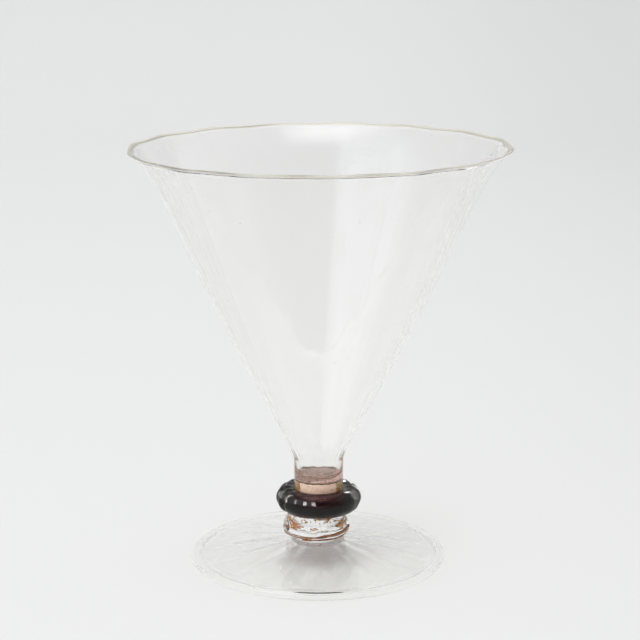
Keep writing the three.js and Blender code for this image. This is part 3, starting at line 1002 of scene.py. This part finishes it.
def makeWorld(sizes):
    world = bpy.data.worlds.new("studio room")
    world.use_nodes = True
    tree = world.node_tree
    tree.nodes.clear()
    direction = addNode(tree, "ShaderNodeTexCoord").outputs["Generated"]
    way = addNode(tree, "ShaderNodeSeparateXYZ", [direction])
    front, above, upper = (
        addNode(tree, "ShaderNodeMapRange", {
            "Value": way.outputs[axis], "From Min": low, "From Max": high}, interpolation_type="SMOOTHSTEP")
        for axis, low, high in (sizes["dimFront"], sizes["dimAbove"], sizes["upperAbove"]))
    dim = addNode(tree, "ShaderNodeMath", [front, above], operation="MULTIPLY")
    frontShade = addNode(tree, "ShaderNodeMix", {
        0: upper, 6: toLinear(sizes["dimRoom"]), 7: toLinear(sizes["upperRoom"])}, data_type="RGBA")
    shade = addNode(tree, "ShaderNodeMix", {
        0: dim, 6: toLinear(sizes["paleRoom"]), 7: frontShade.outputs[2]}, data_type="RGBA")
    room = addNode(tree, "ShaderNodeBackground", {"Color": shade.outputs[2], "Strength": 1.0})
    backwards = addNode(tree, "ShaderNodeVectorMath", {0: direction, "Scale": -1.0}, operation="SCALE")
    back = addNode(tree, "ShaderNodeSeparateXYZ", [backwards])
    left = addNode(tree, "ShaderNodeMath", [back.outputs["X"], back.outputs["Y"]], operation="ARCTAN2")
    up = addNode(tree, "ShaderNodeMath", [way.outputs["Z"]], operation="ARCSINE")
    tall, wide = sky["tall"] / 2, sky["width"] / 2
    inHeight = addBand(tree, up, sky["up"] * degree, tall * degree, (tall + sky["edgeUp"]) * degree)
    glass = 0.0
    for middle in sky["windows"]:
        inWidth = addBand(tree, left, middle * degree, wide * degree, (wide + sky["edge"]) * degree)
        mask = addNode(tree, "ShaderNodeMath", [inWidth, inHeight], operation="MULTIPLY")
        glass = addNode(tree, "ShaderNodeMath", [mask, glass], operation="ADD")
    # twigs and leaves outside break up the sky
    twigs = addNode(tree, "ShaderNodeTexNoise", {
        "Vector": direction, "Scale": 16.0, "Detail": 4.0, "Roughness": 0.7})
    leaves = addNode(tree, "ShaderNodeMapRange", {
        "Value": twigs, "From Min": 0.40, "From Max": 0.48, "To Min": 0.6, "To Max": 1.0})
    clear = addNode(tree, "ShaderNodeMath", [glass, leaves], operation="MULTIPLY")
    strength = addNode(tree, "ShaderNodeMapRange", {
        "Value": up, "From Min": sky["brightFrom"] * degree, "From Max": sky["brightTo"] * degree,
        "To Min": sky["radiance"], "To Max": sky["bright"]}, interpolation_type="SMOOTHSTEP")
    outside = addNode(tree, "ShaderNodeBackground", {
        "Color": toLinear(sky["colour"]), "Strength": strength})
    seen = addNode(tree, "ShaderNodeMixShader", [clear, room, outside])
    height = addNode(tree, "ShaderNodeMath", [1.0, way.outputs["Z"]], operation="DIVIDE")
    flat = addNode(tree, "ShaderNodeVectorMath", {0: direction, "Scale": height}, operation="SCALE")
    spot = addNode(tree, "ShaderNodeSeparateXYZ", [flat])
    x, y, z = softbox["place"]
    half = patch["edge"] / 2
    mask = addNode(tree, "ShaderNodeMath", [way.outputs["Z"], 0.3], operation="GREATER_THAN")
    for name, middle, size in (("X", x / z, softbox["width"] / z), ("Y", y / z, softbox["depth"] / z)):
        inside = addBand(tree, spot.outputs[name], middle, size / 2 - half, size / 2 + half)
        mask = addNode(tree, "ShaderNodeMath", [mask, inside], operation="MULTIPLY")
    box = addNode(tree, "ShaderNodeBackground", {"Color": (1, 1, 1, 1), "Strength": patch["radiance"]})
    lit = addNode(tree, "ShaderNodeMixShader", [mask, seen, box])
    addNode(tree, "ShaderNodeOutputWorld", {"Surface": lit})
    scene.world = world


makeSweep(studio)
makeWorld(studio)
overhead = addLamp(
    "softbox overhead", softbox["place"], (0, 1, 0), softbox["width"], softbox["depth"], softbox["radiance"])
front = addLamp("front fill", fill["place"], (0, 0, 1), fill["width"], fill["height"], fill["radiance"])
for lamp in (overhead, front):    # they light paper and leaf; what the glass mirrors is painted in the room
    lamp.visible_glossy = lamp.visible_transmission = False
mirrors = bpy.data.collections.new("ring mirrors")
mirrors.objects.link(ringGlass)
for name, pane in glints.items():
    ends = (pane["low"], pane["high"])
    low, high = (wayTo(left * degree, up * degree) * glintDistance for left, up in ends)
    width = 2 * glintDistance * math.tan(pane["width"] / 2 * degree)
    lamp = addLamp(name, (low + high) / 2, high - low, width, (high - low).length, pane["radiance"])
    lamp.light_linking.receiver_collection = mirrors    # only the ring mirrors these
scene.view_settings.view_transform = "Standard"

# Light is led a long way round in the thin walls; with fewer bounces the ends of the rim go dark
cycles = scene.cycles
cycles.transparent_max_bounces = 32    # lamps reach the floor through many walls of glass
cycles.transmission_bounces = 64
cycles.glossy_bounces = 160
cycles.max_bounces = 200
print("studio lit")
